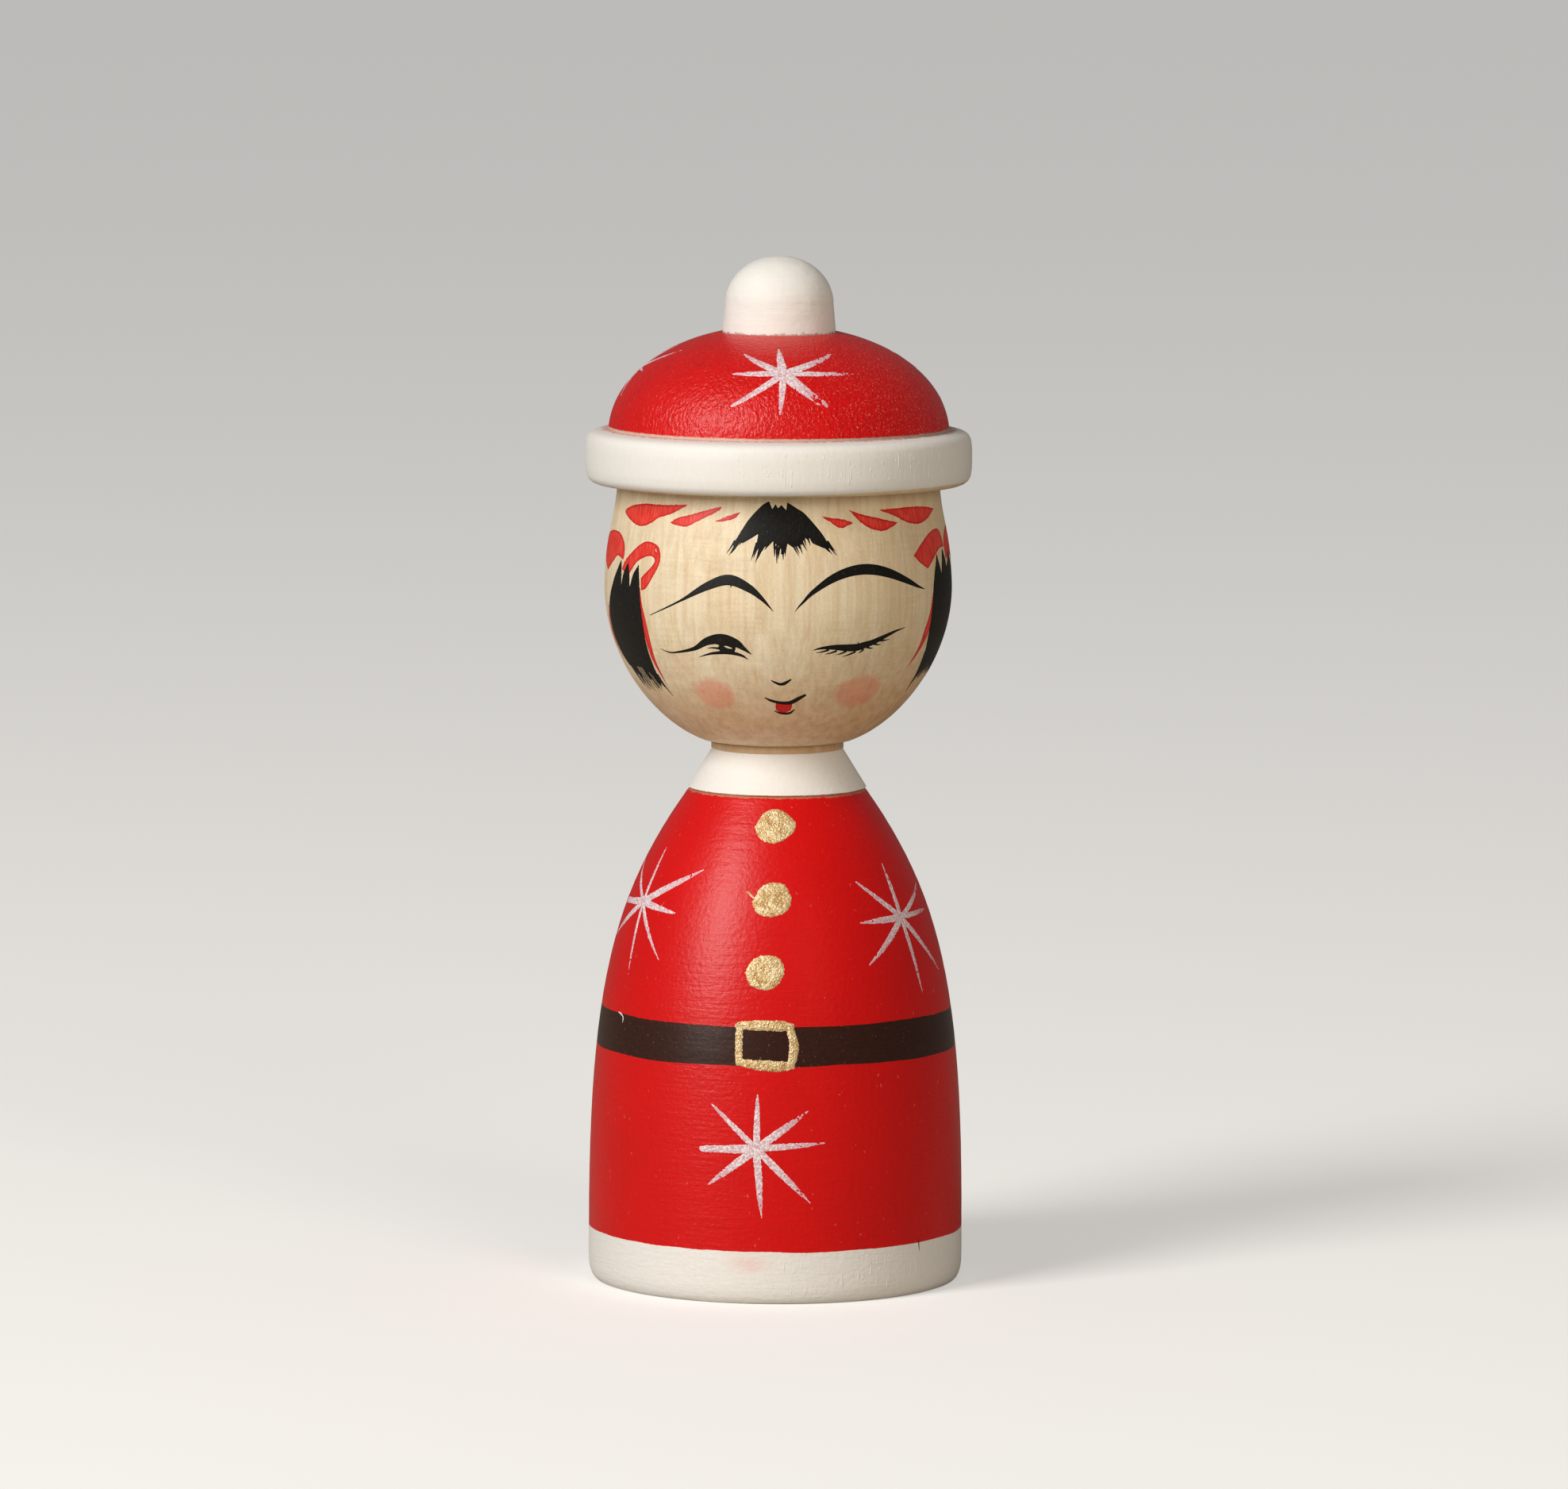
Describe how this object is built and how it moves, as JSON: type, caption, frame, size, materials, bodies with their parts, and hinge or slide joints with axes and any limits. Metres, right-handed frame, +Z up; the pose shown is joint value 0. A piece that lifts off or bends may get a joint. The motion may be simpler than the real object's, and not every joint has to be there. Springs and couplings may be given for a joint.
{
  "type": "kokeshi doll",
  "caption": "Turned wooden kokeshi doll with a flared red body, a round head that turns on its neck, a brimmed hat and a pompom.",
  "frame": {"origin": "centre of the flat foot that the doll stands on", "axes": "+Z up along the turning axis; the painted face looks along -Y; +X to the viewer's right"},
  "size_m": [0.0454, 0.0454, 0.121],
  "materials": {
    "body_wood": "red painted coat with a white collar and a dark belt, satin",
    "head_wood": "bare turned wood, lightly waxed, with brush painting",
    "hat_wood": "red painted dome and white painted brim, satin",
    "pompom_wood": "white painted, matt"
  },
  "bodies": {
    "body": {"body": "body_wood"},
    "head": {"head": "head_wood", "hat": "hat_wood", "pompom": "pompom_wood"}
  },
  "joints": [
    {"name": "head_turn", "type": "hinge", "parent": "body", "child": "head", "pos_m": [0, 0, 0.063], "axis": [0, 0, 1], "continuous": true}
  ]
}
